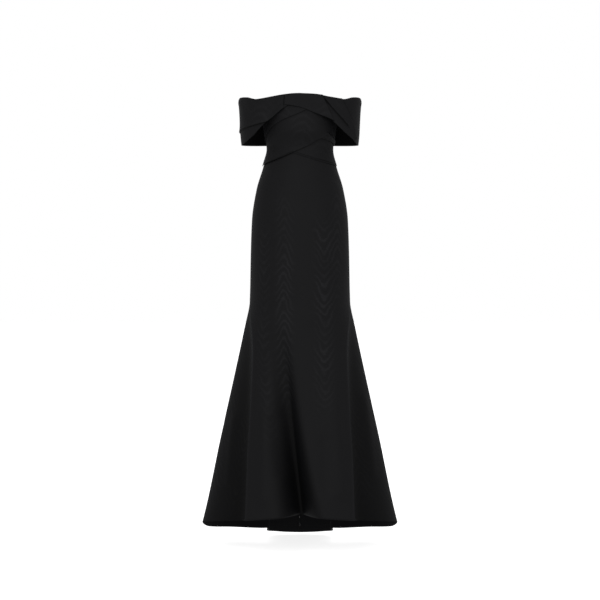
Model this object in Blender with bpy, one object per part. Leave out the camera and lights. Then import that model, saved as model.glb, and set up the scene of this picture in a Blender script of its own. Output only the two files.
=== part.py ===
"""Trumpet gown with an off-the-shoulder band, worn by nobody and hollow.

Metres, +Z up. The origin is the middle of the waist, the front faces -Y and
+X is the right-hand side as seen from the front. Every piece of cloth is one
closed wall over a grid of angles round the body and heights. An angle of 0 is
the centre front and 180 the centre back, in degrees.
"""
import math
from collections import namedtuple

import bpy
import numpy as np

# Heights of the garment
BODICE_TOP = 0.160
BAND_SIDE_LOW = 0.020
BAND_BACK_LOW = 0.029
WAIST_APEX = -0.005
WAIST_SIDE = -0.043
KNEE = -0.490
HEM_FRONT = -1.184

# Cloth, seams and what lies on what
SEAM_GAP = 0.0003
CLOTH = 0.0015
BAND_CLOTH = 0.003
WRAP_CLOTH = 0.0012
LAYER_GAP = 0.0008
ZIP_HALF_WIDTH = 0.012
ZIP_CLOTH = 0.001
ZIP_TOP = 0.150
ZIP_SKIRT_ROWS = 6
STEP_ANGLE = 0.05
STEP_HEIGHT = 0.0005

# Seams round the body, in degrees from the centre front
SIDE_SEAM = 88.0
GODET_BACK_SWING = 30.0
GODET_START = 0.02
BAND_SEAM = 90.0
BACK = 180.0

# Grid sizes
FRONT_COLUMNS = 24
APEX_COLUMN = 10
BACK_COLUMNS = 15
GODET_COLUMNS = 16
BODICE_ROWS = 12
UPPER_ROWS = 11
LOWER_ROWS = 11
SKIRT_ROWS = UPPER_ROWS + LOWER_ROWS + 2
UPPER_CROWDING = 1.4
EDGE_ROUNDS = 5
BAND_ROWS = 8
BAND_CROWDING = 1.25
BAND_FRONT_STEP = 3.6
BAND_BACK_COLUMNS = 15

Section = namedtuple("Section", "height half_width front back roundness")
BODY_SECTIONS = [
    Section(-1.310, 0.345, 0.265, 0.380, 2.0),
    Section(-1.148, 0.305, 0.239, 0.330, 2.0),
    Section(-0.950, 0.264, 0.204, 0.272, 2.0),
    Section(-0.752, 0.220, 0.169, 0.210, 2.0),
    Section(-0.587, 0.1845, 0.142, 0.164, 2.0),
    Section(-0.488, 0.1655, 0.129, 0.145, 2.0),
    Section(-0.323, 0.1620, 0.118, 0.138, 2.0),
    Section(-0.224, 0.1582, 0.113, 0.133, 2.0),
    Section(-0.125, 0.1430, 0.105, 0.117, 2.0),
    Section(-0.050, 0.1205, 0.096, 0.093, 2.0),
    Section(0.005, 0.1080, 0.096, 0.086, 2.1),
    Section(0.065, 0.1155, 0.116, 0.100, 2.2),
    Section(0.120, 0.1245, 0.1196, 0.1034, 2.4),
    Section(0.190, 0.1325, 0.1196, 0.1034, 2.5),
]
BAND_SECTIONS = [
    Section(0.020, 0.1930, 0.1272, 0.107, 2.5),
    Section(0.048, 0.1960, 0.1272, 0.107, 2.5),
    Section(0.117, 0.1995, 0.1272, 0.107, 2.5),
    Section(0.147, 0.2018, 0.1272, 0.107, 2.5),
    Section(0.158, 0.2034, 0.1272, 0.107, 2.5),
    Section(0.167, 0.2025, 0.1272, 0.107, 2.5),
    Section(0.180, 0.1945, 0.1272, 0.107, 2.5),
]

# Flutes of the skirt: each row is one valley, deepest at the hem
Flute = namedtuple("Flute", "hem_angle drift left_spread right_spread depth start")
FLUTES = [
    Flute(1.0, -26.0, 15.0, 10.0, 0.105, -0.60),
    Flute(-73.0, -15.0, 9.0, 20.0, 0.075, KNEE),
    Flute(69.0, 19.0, 18.0, 9.0, 0.075, KNEE),
    Flute(-149.0, 8.0, 14.0, 14.0, 0.125, -0.56),
    Flute(149.0, -8.0, 14.0, 14.0, 0.125, -0.56),
]
FLUTE_GROWTH = 1.2
FLUTE_SHARPNESS = 2.5

# Creases of the band: soft troughs between two places on it
Crease = namedtuple("Crease", "angle height end_angle end_height width depth")
BAND_CREASES = [
    Crease(28.0, 0.178, 42.0, 0.098, 0.011, 0.0050),
    Crease(32.0, 0.158, 56.0, 0.085, 0.009, 0.0030),
    Crease(51.0, 0.158, 71.0, 0.050, 0.012, 0.0060),
    Crease(-21.0, 0.172, -41.0, 0.115, 0.014, 0.0045),
    Crease(-84.0, 0.062, -47.0, 0.082, 0.009, 0.0045),
]
CREASE_RADIUS = 0.16

# Edges that run over the front, as places (angle, height)
Place = namedtuple("Place", "angle height")
BAND_TOP_EDGE = [
    Place(0.0, 0.179),
    Place(20.0, 0.1765),
    Place(38.0, 0.1685),
    Place(55.0, 0.1620),
    Place(65.0, 0.1700),
    Place(76.0, 0.1725),
    Place(90.0, 0.1730),
    Place(180.0, 0.1720),
]
BAND_LEFT_EDGE = [
    Place(-90.0, BAND_SIDE_LOW),
    Place(-77.0, BAND_SIDE_LOW),
    Place(-70.5, 0.0250),
    Place(-59.0, 0.0435),
    Place(-49.0, 0.073),
    Place(-37.0, 0.102),
    Place(-22.5, 0.132),
    Place(-12.0, 0.148),
]
BAND_RIGHT_EDGE = [
    Place(-22.0, 0.1425),
    Place(0.0, 0.134),
    Place(22.5, 0.114),
    Place(40.0, 0.094),
    Place(53.0, 0.062),
    Place(60.5, 0.0435),
    Place(71.0, 0.0250),
    Place(77.5, BAND_SIDE_LOW),
    Place(90.0, BAND_SIDE_LOW),
]
WRAP_UPPER_EDGE = [
    Place(-88.0, 0.031),
    Place(-60.0, 0.060),
    Place(-35.0, 0.087),
    Place(0.0, 0.117),
    Place(30.0, 0.145),
    Place(60.0, 0.152),
    Place(88.0, 0.152),
]
WRAP_LOWER_EDGE = [
    Place(-88.0, -0.050),
    Place(-45.0, -0.031),
    Place(-15.0, -0.011),
    Place(15.0, 0.012),
    Place(38.0, 0.036),
    Place(60.0, 0.030),
    Place(88.0, 0.018),
]
HEM_EDGE = [
    Place(0.0, -1.1800),
    Place(20.0, -1.1860),
    Place(40.0, -1.1940),
    Place(55.0, -1.2020),
    Place(75.0, -1.2110),
    Place(90.0, -1.2215),
    Place(115.0, -1.2545),
    Place(137.0, -1.2670),
    Place(149.0, -1.2615),
    Place(157.0, -1.2720),
    Place(165.0, -1.2880),
    Place(180.0, -1.3045),
]
WRAP_TOP = 0.152
WRAP_TUCK = 0.012
WRAP_UPPER_COLUMNS = 15
WRAP_ROWS = 9
WRAP_SMALL_ROWS = 6
WAIST_OVERLAP = 0.006

# The wrap's main panel lies over the lower panel and under the upper one
WRAP_SINK_START = 0.2
WRAP_SINK_END = 0.75

# The front panel's side seams: the angle of each at a height, from the knee to the hem
Seam = namedtuple("Seam", "height angle")
FRONT_SEAM = [
    Seam(-1.310, 39.0),
    Seam(HEM_FRONT, 40.8),
    Seam(-1.070, 43.4),
    Seam(-0.985, 45.8),
    Seam(-0.900, 47.8),
    Seam(-0.767, 52.5),
    Seam(-0.660, 58.0),
    Seam(-0.589, 65.5),
    Seam(-0.540, 75.0),
    Seam(KNEE, SIDE_SEAM),
]

# The right front of the band crosses over the end of the left front
BAND_LEFT_END = -13.0
BAND_RIGHT_START = -22.0
BAND_RAMP_START = -11.0
BAND_RAMP_END = 8.0

BLACK_FAILLE = (0.012, 0.012, 0.014, 1.0)
BLACK_TAPE = (0.008, 0.008, 0.009, 1.0)
CLOTH_ROUGHNESS = 0.62


class Curve:
    """A smooth curve through a table's values that never overshoots them."""

    def __init__(self, places, values):
        self.places = np.array(places, dtype=float)
        self.values = np.array(values, dtype=float)
        rises = np.diff(self.values) / np.diff(self.places)
        self.slopes = np.zeros(len(self.places))
        self.slopes[0] = rises[0]
        self.slopes[-1] = rises[-1]
        for i in range(1, len(rises)):
            if rises[i - 1] * rises[i] > 0:
                self.slopes[i] = 2 / (1 / rises[i - 1] + 1 / rises[i])

    def __call__(self, place):
        place = np.clip(place, self.places[0], self.places[-1])
        row = np.searchsorted(self.places, place, side="right") - 1
        row = np.clip(row, 0, len(self.places) - 2)
        span = self.places[row + 1] - self.places[row]
        t = (place - self.places[row]) / span
        ends = self.values[row] * (1 + 2 * t) * (1 - t) ** 2 + self.values[row + 1] * t * t * (3 - 2 * t)
        bend = self.slopes[row] * (1 - t) - self.slopes[row + 1] * t
        return ends + span * t * (1 - t) * bend


def edge_curve(places):
    """The height of an edge as a function of the angle."""
    return Curve([p.angle for p in places], [p.height for p in places])


def ease(t):
    """0 below 0, 1 above 1 and a smooth step between."""
    t = np.clip(t, 0.0, 1.0)
    return t * t * (3 - 2 * t)


class Shell:
    """A surface given by its distance from the upright axis, for arrays of angles and heights."""

    def __init__(self, sections, hollow):
        heights = [s.height for s in sections]
        self.half_width = Curve(heights, [s.half_width for s in sections])
        self.front = Curve(heights, [s.front for s in sections])
        self.back = Curve(heights, [s.back for s in sections])
        self.roundness = Curve(heights, [s.roundness for s in sections])
        self.hollow = hollow

    def radius(self, angle, height):
        turn = np.radians(angle)
        depth = np.where(np.cos(turn) > 0, self.front(height), self.back(height))
        power = self.roundness(height)
        across = np.abs(np.sin(turn) / self.half_width(height)) ** power
        along = np.abs(np.cos(turn) / depth) ** power
        return (across + along) ** (-1 / power) - self.hollow(angle, height)

    def points(self, angle, height, lift):
        """Points on the surface, moved out along its normals by the lift."""
        turn = np.radians(angle)
        sine = np.sin(turn)
        cosine = np.cos(turn)
        radius = self.radius(angle, height)
        around = self.radius(angle + STEP_ANGLE, height) - self.radius(angle - STEP_ANGLE, height)
        around = around / (2 * math.radians(STEP_ANGLE))
        upward = self.radius(angle, height + STEP_HEIGHT) - self.radius(angle, height - STEP_HEIGHT)
        upward = upward / (2 * STEP_HEIGHT)
        along_x = around * sine + radius * cosine
        along_y = radius * sine - around * cosine
        normal_z = -upward * (along_x * cosine + along_y * sine)
        normal = np.stack([along_y, -along_x, normal_z], axis=-1)
        normal = normal / np.linalg.norm(normal, axis=-1, keepdims=True)
        place = np.stack([radius * sine, -radius * cosine, height + 0 * radius], axis=-1)
        return place + normal * np.asarray(lift)[..., None]


def flare(height):
    """0 at the knee and above, 1 at the front hem."""
    return np.clip((KNEE - height) / (KNEE - HEM_FRONT), 0.0, None)


def flute_depth(angle, height):
    """How far the skirt's valleys go in."""
    total = np.zeros(np.broadcast(angle, height).shape)
    for flute in FLUTES:
        grown = np.clip((flute.start - height) / (flute.start - HEM_FRONT), 0.0, 1.15)
        middle = flute.hem_angle + flute.drift * (1 - np.clip(grown, 0.0, 1.0))
        away = (angle - middle + 180.0) % 360.0 - 180.0
        spread = np.where(away < 0, flute.left_spread, flute.right_spread)
        profile = np.exp(-np.abs(away / spread) ** FLUTE_SHARPNESS)
        total = total + flute.depth * grown ** FLUTE_GROWTH * profile
    return total


def crease_depth(angle, height):
    """How far the band's creases go in."""
    total = np.zeros(np.broadcast(angle, height).shape)
    for crease in BAND_CREASES:
        run_x = math.radians(crease.end_angle - crease.angle) * CREASE_RADIUS
        run_z = crease.end_height - crease.height
        from_x = np.radians(angle - crease.angle) * CREASE_RADIUS
        from_z = height - crease.height
        along = np.clip((from_x * run_x + from_z * run_z) / (run_x ** 2 + run_z ** 2), 0.0, 1.0)
        away = np.hypot(from_x - along * run_x, from_z - along * run_z)
        total = total + crease.depth * np.exp(-(away / crease.width) ** 2)
    return total


BODY = Shell(BODY_SECTIONS, flute_depth)
BAND = Shell(BAND_SECTIONS, crease_depth)
HEM = edge_curve(HEM_EDGE)
FRONT_SEAM_ANGLE = Curve([s.height for s in FRONT_SEAM], [s.angle for s in FRONT_SEAM])


def waist_height(angle):
    """The waist seam: an inverted V in front, level behind."""
    apex_angle = -SIDE_SEAM + APEX_COLUMN * 2 * SIDE_SEAM / FRONT_COLUMNS
    apex = math.sin(math.radians(apex_angle))
    across = np.sin(np.radians(angle))
    reach = np.where(across < apex, 1 + apex, 1 - apex)
    fall = np.clip(np.abs(across - apex) / reach, 0.0, 1.0)
    fall = np.where(np.abs(angle) > SIDE_SEAM, 1.0, fall)
    return WAIST_APEX + (WAIST_SIDE - WAIST_APEX) * fall


def hem_height(angle):
    """The hem: nearly level in front and dropping to a small train behind."""
    return HEM(np.abs(angle))


def front_seam(height):
    """The angle of the seam between the front panel and the godet."""
    return FRONT_SEAM_ANGLE(height)


def back_seam(height):
    """The angle of the seam between the godet and the back panel."""
    return SIDE_SEAM + GODET_BACK_SWING * flare(height)


def seam_shift(height, angle):
    """Half of a seam's gap as an angle, where the body has this height."""
    return np.degrees(SEAM_GAP / 2 / BODY.radius(angle, height))


def skirt_height(row, angle):
    """The height of one of the skirt's rows, the first at the waist seam and the last at the hem."""
    if row <= UPPER_ROWS:
        top = waist_height(angle) - SEAM_GAP / 2
        return top + (KNEE - top) * (row / UPPER_ROWS) ** UPPER_CROWDING
    share = max((row - UPPER_ROWS - 1) / LOWER_ROWS, GODET_START)
    return KNEE + (hem_height(angle) - KNEE) * share


def bodice_rows(angle):
    """Heights of the bodice's rows, from its top edge to the waist seam."""
    t = np.linspace(0.0, 1.0, BODICE_ROWS + 1)[:, None]
    bottom = waist_height(angle) + SEAM_GAP / 2
    return BODICE_TOP + (bottom - BODICE_TOP) * t


def between(first, last, count):
    """A row of count + 1 even values for each pair of ends."""
    t = np.linspace(0.0, 1.0, count + 1)
    return np.asarray(first)[..., None] * (1 - t) + np.asarray(last)[..., None] * t


def panel_grid(left, right, columns, first_row=0):
    """Angles and heights of a skirt panel whose side edges swing with the height."""
    angles = []
    heights = []
    for row in range(first_row, SKIRT_ROWS):
        ends = [left(KNEE), right(KNEE)]
        for _ in range(EDGE_ROUNDS):
            ends = [left(skirt_height(row, ends[0])), right(skirt_height(row, ends[1]))]
        angles.append(between(ends[0], ends[1], columns))
        heights.append(skirt_height(row, angles[-1]))
    return np.array(angles), np.array(heights)


def wall(name, shell, angle, height, lift, thickness, material):
    """One closed piece of cloth whose outer side lies over the shell by the lift."""
    lift = np.broadcast_to(lift, angle.shape)
    outer = shell.points(angle, height, lift)
    inner = shell.points(angle, height, lift - thickness)
    rows, columns = angle.shape
    count = rows * columns
    number = np.arange(count).reshape(rows, columns)
    faces = []
    for r in range(rows - 1):
        for c in range(columns - 1):
            square = [number[r, c], number[r + 1, c], number[r + 1, c + 1], number[r, c + 1]]
            for corners in (square[:3], [square[0]] + square[2:]):
                faces.append(corners)
                faces.append([corner + count for corner in reversed(corners)])
    down = number[:, 0]
    along = number[-1, 1:]
    up = number[::-1, -1][1:]
    home = number[0, ::-1][1:]
    loop = np.concatenate([down, along, up, home])
    for a, b in zip(loop[:-1], loop[1:]):
        faces.append([b, a, a + count, b + count])
    mesh = bpy.data.meshes.new(name)
    vertices = np.concatenate([outer.reshape(-1, 3), inner.reshape(-1, 3)])
    mesh.from_pydata(vertices.tolist(), [], [[int(i) for i in face] for face in faces])
    mesh.shade_smooth()
    mesh.set_sharp_from_angle(angle=math.radians(40))
    mesh.materials.append(material)
    piece = bpy.data.objects.new(name, mesh)
    bpy.context.scene.collection.objects.link(piece)
    return piece


def plain_material(name, colour, roughness):
    """A Principled material with one colour."""
    material = bpy.data.materials.new(name)
    material.use_nodes = True
    shader = material.node_tree.nodes["Principled BSDF"]
    shader.inputs["Base Color"].default_value = colour
    shader.inputs["Roughness"].default_value = roughness
    shader.inputs["Metallic"].default_value = 0.0
    return material


def make_skirt():
    """Front panel, two godets that start at the knee, and two back panels."""
    front_angle, front_height = panel_grid(
        lambda z: -front_seam(z) + seam_shift(z, -front_seam(z)),
        lambda z: front_seam(z) - seam_shift(z, front_seam(z)),
        FRONT_COLUMNS)
    wall("skirt_front", BODY, front_angle, front_height, 0.0, CLOTH,
         plain_material("front_cloth", BLACK_FAILLE, CLOTH_ROUGHNESS))
    godet_angle, godet_height = panel_grid(
        lambda z: front_seam(z) + seam_shift(z, front_seam(z)),
        lambda z: back_seam(z) - seam_shift(z, back_seam(z)),
        GODET_COLUMNS, UPPER_ROWS + 1)
    back_angle, back_height = panel_grid(
        lambda z: back_seam(z) + seam_shift(z, back_seam(z)),
        lambda z: BACK - seam_shift(z, BACK + 0 * z),
        BACK_COLUMNS)
    for side, sign in (("left", -1), ("right", 1)):
        godet_cloth = plain_material(f"godet_{side}_cloth", BLACK_FAILLE, CLOTH_ROUGHNESS)
        back_cloth = plain_material(f"back_{side}_cloth", BLACK_FAILLE, CLOTH_ROUGHNESS)
        wall(f"skirt_godet_{side}", BODY, sign * godet_angle[:, ::sign], godet_height[:, ::sign],
             0.0, CLOTH, godet_cloth)
        wall(f"skirt_back_{side}", BODY, sign * back_angle[:, ::sign], back_height[:, ::sign],
             0.0, CLOTH, back_cloth)


def seamed_row(left, right, columns, rows_of):
    """Angles and heights of an upright piece between two seams."""
    angle = between(left, right, columns)
    height = rows_of(angle)
    edge = np.zeros_like(angle)
    edge[0] = 1
    edge[-1] = -1
    shifted = angle + edge * seam_shift(height, angle)
    return shifted, height


def make_bodice():
    """The fitted foundation: one front and two backs that meet at the centre back."""
    angle, height = seamed_row(-SIDE_SEAM, SIDE_SEAM, FRONT_COLUMNS, bodice_rows)
    wall("bodice_front", BODY, angle, height, 0.0, CLOTH,
         plain_material("bodice_front_cloth", BLACK_FAILLE, CLOTH_ROUGHNESS))
    angle, height = seamed_row(SIDE_SEAM, BACK, BACK_COLUMNS, bodice_rows)
    for side, sign in (("left", -1), ("right", 1)):
        wall(f"bodice_back_{side}", BODY, sign * angle[:, ::sign], height[:, ::sign], 0.0, CLOTH,
             plain_material(f"bodice_back_{side}_cloth", BLACK_FAILLE, CLOTH_ROUGHNESS))


def make_wraps():
    """Three draped panels that lie over the bodice, made on its own columns."""
    upper = edge_curve(WRAP_UPPER_EDGE)
    lower = edge_curve(WRAP_LOWER_EDGE)
    first_lift = LAYER_GAP + WRAP_CLOTH
    second_lift = 2 * first_lift
    columns = between(-SIDE_SEAM, SIDE_SEAM, FRONT_COLUMNS)
    main_top = np.minimum(upper(columns) + WRAP_TUCK, WRAP_TOP)
    main_rows = main_top + (lower(columns) - main_top) * np.linspace(0.0, 1.0, WRAP_ROWS + 1)[:, None]
    share = (main_rows - lower(columns)) / (upper(columns) - lower(columns))
    sunk = ease((share - WRAP_SINK_START) / (WRAP_SINK_END - WRAP_SINK_START))
    main_lift = second_lift + (first_lift - second_lift) * sunk
    left_columns = columns[:WRAP_UPPER_COLUMNS + 1]
    right_columns = columns[APEX_COLUMN:]
    pieces = [
        ("wrap_upper", left_columns, WRAP_TOP, upper(left_columns), WRAP_SMALL_ROWS, second_lift),
        ("wrap_lower", right_columns, lower(right_columns) + WRAP_TUCK,
         waist_height(right_columns) - WAIST_OVERLAP, WRAP_SMALL_ROWS, first_lift),
        ("wrap_main", columns, main_top, lower(columns), WRAP_ROWS, main_lift),
    ]
    for name, angle, top, bottom, rows, lift in pieces:
        t = np.linspace(0.0, 1.0, rows + 1)[:, None]
        height = top + (bottom - top) * t
        wall(name, BODY, np.tile(angle, (rows + 1, 1)), height, lift, WRAP_CLOTH,
             plain_material(f"{name}_cloth", BLACK_FAILLE, CLOTH_ROUGHNESS))


def band_piece(name, angle, bottom, lift):
    """A piece of the band from its top edge down to a lower edge."""
    t = np.linspace(0.0, 1.0, BAND_ROWS + 1)[:, None] ** BAND_CROWDING
    top = edge_curve(BAND_TOP_EDGE)(np.abs(angle))
    height = top + (bottom - top) * t
    wall(name, BAND, np.tile(angle, (BAND_ROWS + 1, 1)), height, np.tile(lift, (BAND_ROWS + 1, 1)),
         BAND_CLOTH, plain_material(f"{name}_cloth", BLACK_FAILLE, CLOTH_ROUGHNESS))


def make_band():
    """The off-the-shoulder band: two fronts that cross, and two backs."""
    shift = np.degrees(SEAM_GAP / 2 / BAND.radius(BAND_SEAM, BAND_SIDE_LOW))
    left_end = -BAND_SEAM + shift
    left_columns = round((BAND_LEFT_END - left_end) / BAND_FRONT_STEP)
    left = between(left_end, BAND_LEFT_END, left_columns)
    band_piece("band_front_left", left, edge_curve(BAND_LEFT_EDGE)(left), 0 * left)
    right_columns = round((BAND_SEAM - BAND_RIGHT_START) / BAND_FRONT_STEP)
    right = between(BAND_RIGHT_START, BAND_SEAM - shift, right_columns)
    ramp = 1 - ease((right - BAND_RAMP_START) / (BAND_RAMP_END - BAND_RAMP_START))
    band_piece("band_front_right", right, edge_curve(BAND_RIGHT_EDGE)(right),
               (BAND_CLOTH + LAYER_GAP) * ramp)
    back = between(BAND_SEAM + shift, BACK - shift * 2, BAND_BACK_COLUMNS)
    low = BAND_SIDE_LOW - (BAND_BACK_LOW - BAND_SIDE_LOW) * np.cos(np.radians(back))
    for side, sign in (("left", -1), ("right", 1)):
        band_piece(f"band_back_{side}", sign * back[::sign], low[::sign], 0 * back)


def make_zip():
    """The closed zip's tape, inside the centre back, on the rows of the cloth it is sewn to."""
    bodice = bodice_rows(np.array([BACK]))
    bodice = bodice[bodice[:, 0] <= ZIP_TOP]
    skirt = np.array([[float(skirt_height(row, BACK))] for row in range(1, ZIP_SKIRT_ROWS)])
    heights = np.concatenate([bodice, skirt])
    half = np.degrees(ZIP_HALF_WIDTH / BODY.radius(BACK, heights[:, 0]))
    angle = between(BACK - half, BACK + half, 2)
    wall("zip_tape", BODY, angle, np.tile(heights, (1, 3)), -CLOTH - LAYER_GAP, ZIP_CLOTH,
         plain_material("zip_tape_cloth", BLACK_TAPE, CLOTH_ROUGHNESS))


def main():
    for old in list(bpy.data.objects):
        bpy.data.objects.remove(old, do_unlink=True)
    make_skirt()
    make_bodice()
    make_wraps()
    make_band()
    make_zip()


main()
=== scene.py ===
"""Looks of a black trumpet gown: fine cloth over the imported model, its finishes and the stage.

Angles go round the body in degrees, 0 at the centre front and 180 at the centre
back, positive to the right-hand side as seen from the front. All sizes are in metres.
"""
import math
from collections import namedtuple

import bpy
import numpy as np
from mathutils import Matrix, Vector


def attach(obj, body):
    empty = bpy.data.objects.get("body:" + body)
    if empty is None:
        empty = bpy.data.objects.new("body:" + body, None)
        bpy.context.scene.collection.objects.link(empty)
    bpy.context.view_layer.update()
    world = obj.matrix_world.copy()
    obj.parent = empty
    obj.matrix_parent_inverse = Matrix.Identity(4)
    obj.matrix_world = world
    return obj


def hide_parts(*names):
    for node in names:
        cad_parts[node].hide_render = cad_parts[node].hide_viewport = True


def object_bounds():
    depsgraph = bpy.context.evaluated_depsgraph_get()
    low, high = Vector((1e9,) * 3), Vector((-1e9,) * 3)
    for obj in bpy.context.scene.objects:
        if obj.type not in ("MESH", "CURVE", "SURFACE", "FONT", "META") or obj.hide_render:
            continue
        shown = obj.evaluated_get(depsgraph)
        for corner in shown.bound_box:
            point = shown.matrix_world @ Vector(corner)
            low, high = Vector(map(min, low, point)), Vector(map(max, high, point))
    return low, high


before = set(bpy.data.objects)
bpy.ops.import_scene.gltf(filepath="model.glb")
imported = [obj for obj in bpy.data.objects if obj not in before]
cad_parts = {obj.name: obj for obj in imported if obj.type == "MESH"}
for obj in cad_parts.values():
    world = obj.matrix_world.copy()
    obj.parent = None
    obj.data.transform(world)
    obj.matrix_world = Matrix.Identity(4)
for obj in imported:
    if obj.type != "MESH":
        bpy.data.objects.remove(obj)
CAD_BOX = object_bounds()

bl_info = {
    "name": "Trumpet gown",
    "version": (1, 0, 0),
    "blender": (4, 5, 0),
    "location": "3D View > Sidebar > Gown",
    "description": "Makes the cloth, zip and stage of a trumpet gown",
    "category": "Object",
}

# Heights of the garment, as in the model
BODICE_TOP = 0.160
BAND_SIDE_LOW = 0.020
BAND_BACK_LOW = 0.029
WAIST_APEX = -0.005
WAIST_SIDE = -0.043
WAIST_APEX_ANGLE = -14.67
KNEE = -0.490
HEM_FRONT = -1.184

# Cloth and layers
SEAM_GAP = 0.00002
CLOTH = 0.0015
BAND_CLOTH = 0.003
WRAP_CLOTH = 0.0012
LAYER_GAP = 0.0008
ZIP_TOP = 0.150
ZIP_LOW = -0.185
ZIP_HALF_WIDTH = 0.012
ZIP_CLOTH = 0.001
TOOTH_SPACING = 0.0016
TOOTH_PATH_POINTS = 120
HEM_PATH_POINTS = 721
TOOTH_ASIDE = 0.0007
TOOTH_HALF_SIZE = (0.0009, 0.0006, 0.0006)
HEM_DEPTH = 0.024
STITCH_SPACING = 0.009
STITCH_HALF_SIZE = (0.0003, 0.0003, 0.0022)
STEP_ANGLE = 0.04
STEP_HEIGHT = 0.0004
TINY = 1e-9

# Seams round the body
SIDE_SEAM = 88.0
GODET_BACK_SWING = 30.0
GODET_START = 0.02
BAND_SEAM = 90.0
BAND_SEAM_RADIUS = 0.19
BACK = 180.0

Section = namedtuple("Section", "height half_width front back roundness")
BODY_SECTIONS = [
    Section(-1.310, 0.345, 0.265, 0.380, 2.0),
    Section(-1.148, 0.305, 0.239, 0.330, 2.0),
    Section(-0.950, 0.264, 0.204, 0.272, 2.0),
    Section(-0.752, 0.220, 0.169, 0.210, 2.0),
    Section(-0.587, 0.1845, 0.142, 0.164, 2.0),
    Section(-0.488, 0.1655, 0.129, 0.145, 2.0),
    Section(-0.323, 0.1620, 0.118, 0.138, 2.0),
    Section(-0.224, 0.1582, 0.113, 0.133, 2.0),
    Section(-0.125, 0.1430, 0.105, 0.117, 2.0),
    Section(-0.050, 0.1205, 0.096, 0.093, 2.0),
    Section(0.005, 0.1080, 0.096, 0.086, 2.1),
    Section(0.065, 0.1155, 0.116, 0.100, 2.2),
    Section(0.120, 0.1245, 0.1196, 0.1034, 2.4),
    Section(0.190, 0.1325, 0.1196, 0.1034, 2.5),
]
BAND_SECTIONS = [
    Section(0.020, 0.1930, 0.1272, 0.107, 2.5),
    Section(0.048, 0.1960, 0.1272, 0.107, 2.5),
    Section(0.117, 0.1995, 0.1272, 0.107, 2.5),
    Section(0.147, 0.2018, 0.1272, 0.107, 2.5),
    Section(0.158, 0.2034, 0.1272, 0.107, 2.5),
    Section(0.167, 0.2025, 0.1272, 0.107, 2.5),
    Section(0.180, 0.1945, 0.1272, 0.107, 2.5),
]

# Valleys between the skirt's flutes, deepest at the hem
Flute = namedtuple("Flute", "hem_angle drift left_spread right_spread depth start")
FLUTES = [
    Flute(3.0, -28.0, 13.0, 8.5, 0.105, -0.57),
    Flute(-148.0, 7.0, 10.5, 10.5, 0.125, -0.56),
    Flute(148.0, -7.0, 10.5, 10.5, 0.125, -0.56),
]
FLUTE_GROWTH = 1.2
FLUTE_SHARPNESS = 2.5
FLUTE_GROWN_MOST = 1.15

# The valley behind each side seam of the front panel: it starts as a fold at the seam
SIDE_VALLEY_DEPTH = 0.078
SIDE_VALLEY_GROWTH = 0.9
SIDE_VALLEY_END = 93.0
SIDE_VALLEY_LEAST = 4.0
SIDE_VALLEY_SKEW = 1.5
# Painted shade: the fold depth that gets the full painted shade, and how that shade grows with the depth
PAINTED_SHADE_FULL_DEPTH = 0.075
PAINTED_FOLD_SHADE_POWER = 0.55
# How far the painted shadow just below an edge of a layer or pleat reaches
PAINTED_SHADOW_REACH = 0.0030

# Soft troughs, or ridges where the depth is below zero, between two places
Crease = namedtuple("Crease", "angle height end_angle end_height width depth")
BODY_CREASES = [
    Crease(-27.0, -0.88, -18.0, -1.04, 0.018, 0.0060),
    Crease(24.0, -0.94, 21.5, -1.09, 0.022, 0.0036),
    Crease(34.0, -0.80, 31.0, -1.10, 0.030, -0.0060),
    Crease(-33.0, -0.86, -28.0, -1.12, 0.026, -0.0050),
    Crease(-68.0, -0.08, -36.0, -0.11, 0.012, 0.0012),
    Crease(52.0, -0.075, 74.0, -0.105, 0.011, 0.0012),
    Crease(-20.0, -0.16, 18.0, -0.18, 0.022, 0.0012),
    Crease(-62.0, -0.30, -25.0, -0.34, 0.020, 0.0011),
    Crease(30.0, -0.42, 66.0, -0.38, 0.022, 0.0013),
    Crease(-50.0, -0.53, -12.0, -0.50, 0.026, 0.0014),
    Crease(8.0, -0.60, 40.0, -0.56, 0.024, 0.0012),
    Crease(108.0, -0.09, 138.0, -0.12, 0.013, 0.0014),
    Crease(-112.0, -0.10, -146.0, -0.08, 0.012, 0.0013),
    Crease(120.0, -0.36, 160.0, -0.41, 0.022, 0.0018),
    Crease(-125.0, -0.40, -168.0, -0.37, 0.020, 0.0016),
    Crease(100.0, -0.85, 108.0, -1.10, 0.018, 0.0050),
    Crease(-98.0, -0.90, -107.0, -1.14, 0.016, 0.0045),
    Crease(82.0, -0.82, 78.0, -1.05, 0.020, -0.0045),
    Crease(-80.0, -0.88, -76.0, -1.08, 0.018, -0.0040),
    Crease(128.0, -0.80, 127.0, -1.12, 0.022, -0.0060),
    Crease(-130.0, -0.86, -128.0, -1.16, 0.024, -0.0055),
    Crease(172.0, -0.92, 169.0, -1.20, 0.018, 0.0050),
    Crease(-166.0, -0.98, -170.0, -1.22, 0.016, 0.0045),
]
BAND_CREASES = [
    Crease(-21.0, 0.172, -41.0, 0.115, 0.014, 0.0045),
    Crease(-70.0, 0.150, -60.0, 0.095, 0.016, 0.0022),
    Crease(-62.0, 0.168, -54.0, 0.150, 0.008, 0.0025),
    Crease(62.0, 0.168, 54.0, 0.150, 0.008, 0.0025),
    Crease(4.0, 0.170, 12.0, 0.132, 0.012, 0.0014),
    Crease(112.0, 0.160, 124.0, 0.060, 0.016, 0.0030),
    Crease(-108.0, 0.150, -121.0, 0.070, 0.015, 0.0028),
    Crease(142.0, 0.165, 150.0, 0.075, 0.014, 0.0022),
    Crease(-138.0, 0.160, -152.0, 0.050, 0.013, 0.0024),
]
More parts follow.
